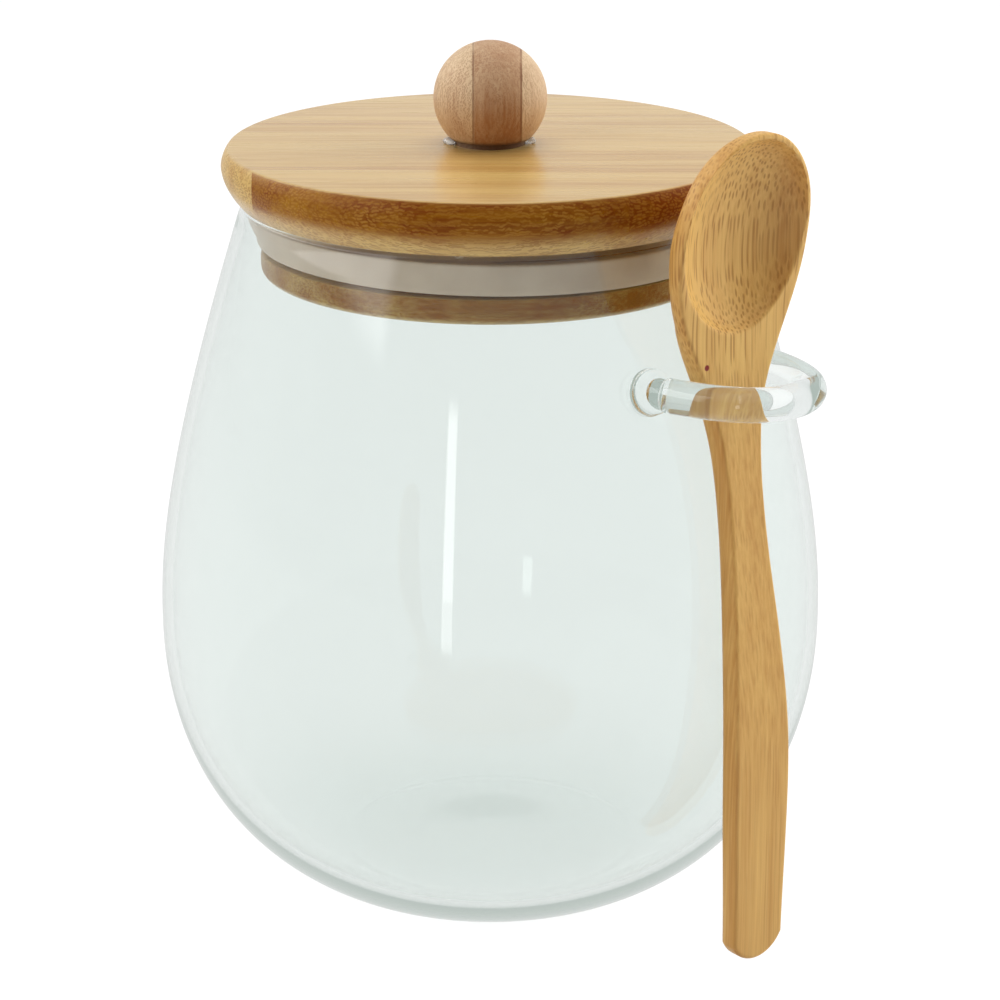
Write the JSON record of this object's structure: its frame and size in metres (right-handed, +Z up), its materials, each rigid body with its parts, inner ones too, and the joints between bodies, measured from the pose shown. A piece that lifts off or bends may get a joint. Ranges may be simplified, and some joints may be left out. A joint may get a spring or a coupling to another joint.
{
  "type": "glass storage jar",
  "caption": "Round-bellied glass storage jar with a bamboo lid, a silicone seal, a ball knob and a bamboo spoon that hangs in a glass loop on the wall.",
  "frame": {"origin": "centre of the foot, on the surface that the jar stands on", "axes": "+Z up along the jar's axis towards the knob; the glass loop and the spoon are on the -Y side"},
  "size_m": [0.1216, 0.1332, 0.1559],
  "materials": {
    "glass": "gloss",
    "lid_wood": "satin",
    "seal": "satin",
    "knob_wood": "satin",
    "spoon_wood": "satin"
  },
  "bodies": {
    "root": {"jar": "glass", "lid": "lid_wood", "gasket": "seal", "knob": "knob_wood", "spoon": "spoon_wood"}
  },
  "joints": []
}
